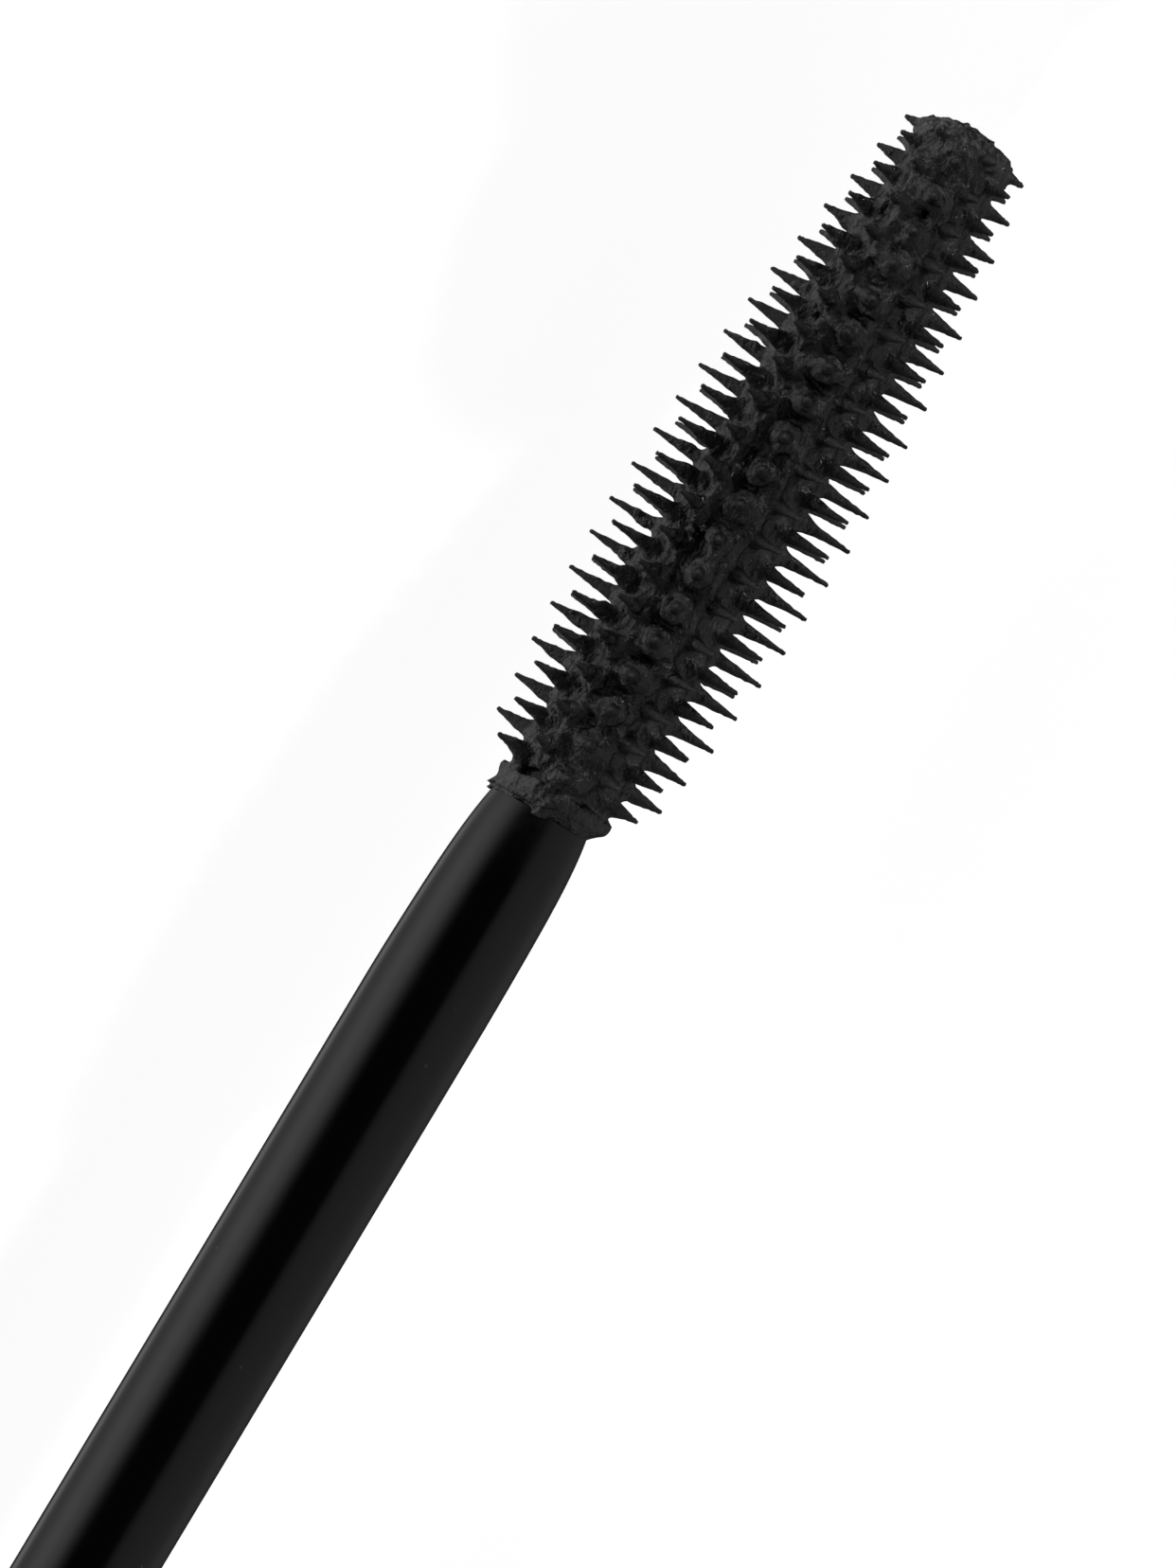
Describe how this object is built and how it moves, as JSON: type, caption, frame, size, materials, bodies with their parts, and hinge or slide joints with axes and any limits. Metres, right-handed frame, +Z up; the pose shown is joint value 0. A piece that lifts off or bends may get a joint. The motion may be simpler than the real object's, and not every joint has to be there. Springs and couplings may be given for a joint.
{
  "type": "mascara",
  "caption": "Round mascara lying open: a threaded bottle with wiper and vial, and a cap carrying a stem with a tapered moulded brush coated in mascara.",
  "frame": {"origin": "below the middle of the whole length, on the surface that the open mascara lies on", "axes": "+X along the common axis, from the cap's closed end towards the bottle's base; +Z up"},
  "size_m": [0.2144, 0.017, 0.017],
  "materials": {
    "black_lacquer": "high gloss black",
    "gunmetal": "satin metallised",
    "stem_black": "polished moulded black",
    "liner_natural": "natural moulded",
    "vial_clear": "smoky clear moulded",
    "brush_elastomer": "matt moulded black",
    "mascara_black": "wet and grainy black paste",
    "weight_steel": "turned",
    "gasket_foam": "closed-cell foam",
    "label_paper": "matt blank"
  },
  "bodies": {
    "bottle": {"collar_ring": "gunmetal", "inner_vial": "vial_clear", "wiper": "liner_natural", "mascara_bulk": "mascara_black", "outer_sleeve": "black_lacquer", "base_plug": "black_lacquer", "shade_label": "label_paper"},
    "gasket": {"cap_gasket": "gasket_foam"},
    "wand": {"outer_cap": "black_lacquer", "cap_end_disc": "gunmetal", "cap_weight": "weight_steel", "inner_cap": "liner_natural", "stem": "stem_black", "brush": "brush_elastomer", "mascara_coat": "mascara_black"}
  },
  "joints": [
    {"name": "wand_draw", "type": "slide", "parent": "bottle", "child": "gasket", "axis": [1, 0, 0], "range_m": [0, 0.089], "deforming": ["wiper"]},
    {"name": "cap_turn", "type": "hinge", "parent": "gasket", "child": "wand", "pos_m": [0, 0, 0.0085], "axis": [1, 0, 0], "range_deg": [0, 540]}
  ]
}
